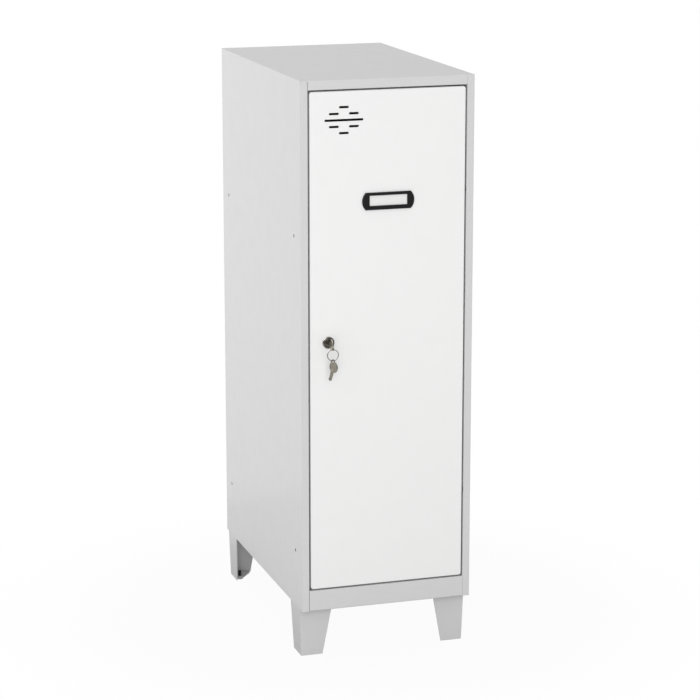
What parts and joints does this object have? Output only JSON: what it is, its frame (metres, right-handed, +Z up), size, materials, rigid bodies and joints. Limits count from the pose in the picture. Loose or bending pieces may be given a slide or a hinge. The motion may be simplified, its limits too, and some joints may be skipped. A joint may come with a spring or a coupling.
{
  "type": "metal locker",
  "caption": "Tall single-door sheet-steel locker on tapered folded legs, with vents, label holder, cam lock, shelf and coat rail.",
  "frame": {"origin": "centre of the ground rectangle that the whole object covers, keys included, at floor level", "axes": "+Z up, +Y from the door towards the back, +X to the right as seen from the front"},
  "size_m": [0.3, 0.5366, 0.9875],
  "materials": {
    "frame_paint": "semi-gloss powder coat, light grey",
    "door_paint": "semi-gloss powder coat, white",
    "nickel": "polished nickel plate",
    "zinc_steel": "zinc plated",
    "black_plastic": "satin moulded",
    "card": "plain white card",
    "rubber": "matt"
  },
  "bodies": {
    "carcass": {"left_side_panel": "frame_paint", "right_side_panel": "frame_paint", "back_panel": "frame_paint", "top_panel": "frame_paint", "base_panel": "frame_paint", "bottom_rail": "frame_paint", "hat_shelf": "frame_paint", "left_shelf_ledge": "frame_paint", "right_shelf_ledge": "frame_paint", "coat_rail": "zinc_steel", "left_rail_socket": "zinc_steel", "right_rail_socket": "zinc_steel", "upper_hinge_lug": "frame_paint", "lower_hinge_lug": "frame_paint", "door_buffers": "rubber", "front_left_leg": "frame_paint", "front_right_leg": "frame_paint", "rear_left_leg": "frame_paint", "rear_right_leg": "frame_paint", "leg_screws": "zinc_steel", "leg_nuts": "zinc_steel"},
    "door": {"door_panel": "door_paint", "door_stiffener": "door_paint", "upper_hinge_bracket": "zinc_steel", "lower_hinge_bracket": "zinc_steel", "upper_hinge_pin": "zinc_steel", "lower_hinge_pin": "zinc_steel", "label_holder": "black_plastic", "lock_housing": "nickel", "lock_nut": "zinc_steel"},
    "plug": {"lock_plug": "nickel", "lock_cam": "zinc_steel", "cam_screw": "zinc_steel"},
    "key": {"lock_key": "nickel"},
    "ring": {"key_ring": "nickel"},
    "spare": {"spare_key": "nickel"},
    "card": {"label_card": "card"},
    "left_hook": {"left_coat_hook": "black_plastic"},
    "right_hook": {"right_coat_hook": "black_plastic"},
    "front_left_foot": {"front_left_glide": "black_plastic"},
    "front_right_foot": {"front_right_glide": "black_plastic"},
    "rear_left_foot": {"rear_left_glide": "black_plastic"},
    "rear_right_foot": {"rear_right_glide": "black_plastic"}
  },
  "joints": [
    {"name": "door_hinge", "type": "hinge", "parent": "carcass", "child": "door", "pos_m": [0.1245, -0.22523, 0.5375], "axis": [0, 0, 1], "range_deg": [0, 110]},
    {"name": "lock_turn", "type": "hinge", "parent": "door", "child": "plug", "pos_m": [-0.1033, -0.23172, 0.5525], "axis": [0, 1, 0], "range_deg": [0, 90]},
    {"name": "key_pull", "type": "slide", "parent": "plug", "child": "key", "axis": [0, -1, 0], "range_m": [0, 0.016]},
    {"name": "ring_swing", "type": "hinge", "parent": "key", "child": "ring", "pos_m": [-0.1033, -0.25772, 0.5462], "axis": [1, 0, 0], "range_deg": [-60, 10]},
    {"name": "spare_key_swing", "type": "hinge", "parent": "ring", "child": "spare", "pos_m": [-0.1033, -0.25772, 0.5274], "axis": [1, 0, 0], "range_deg": [-60, 10]},
    {"name": "card_slide", "type": "slide", "parent": "door", "child": "card", "axis": [1, 0, 0], "range_m": [0, 0.075]},
    {"name": "left_hook_slide", "type": "slide", "parent": "carcass", "child": "left_hook", "axis": [1, 0, 0], "range_m": [-0.075, 0.04]},
    {"name": "right_hook_slide", "type": "slide", "parent": "carcass", "child": "right_hook", "axis": [1, 0, 0], "range_m": [-0.04, 0.075]},
    {"name": "front_left_levelling", "type": "slide", "parent": "carcass", "child": "front_left_foot", "axis": [0, 0, -1], "range_m": [0, 0.008]},
    {"name": "front_right_levelling", "type": "slide", "parent": "carcass", "child": "front_right_foot", "axis": [0, 0, -1], "range_m": [0, 0.008]},
    {"name": "rear_left_levelling", "type": "slide", "parent": "carcass", "child": "rear_left_foot", "axis": [0, 0, -1], "range_m": [0, 0.008]},
    {"name": "rear_right_levelling", "type": "slide", "parent": "carcass", "child": "rear_right_foot", "axis": [0, 0, -1], "range_m": [0, 0.008]}
  ]
}
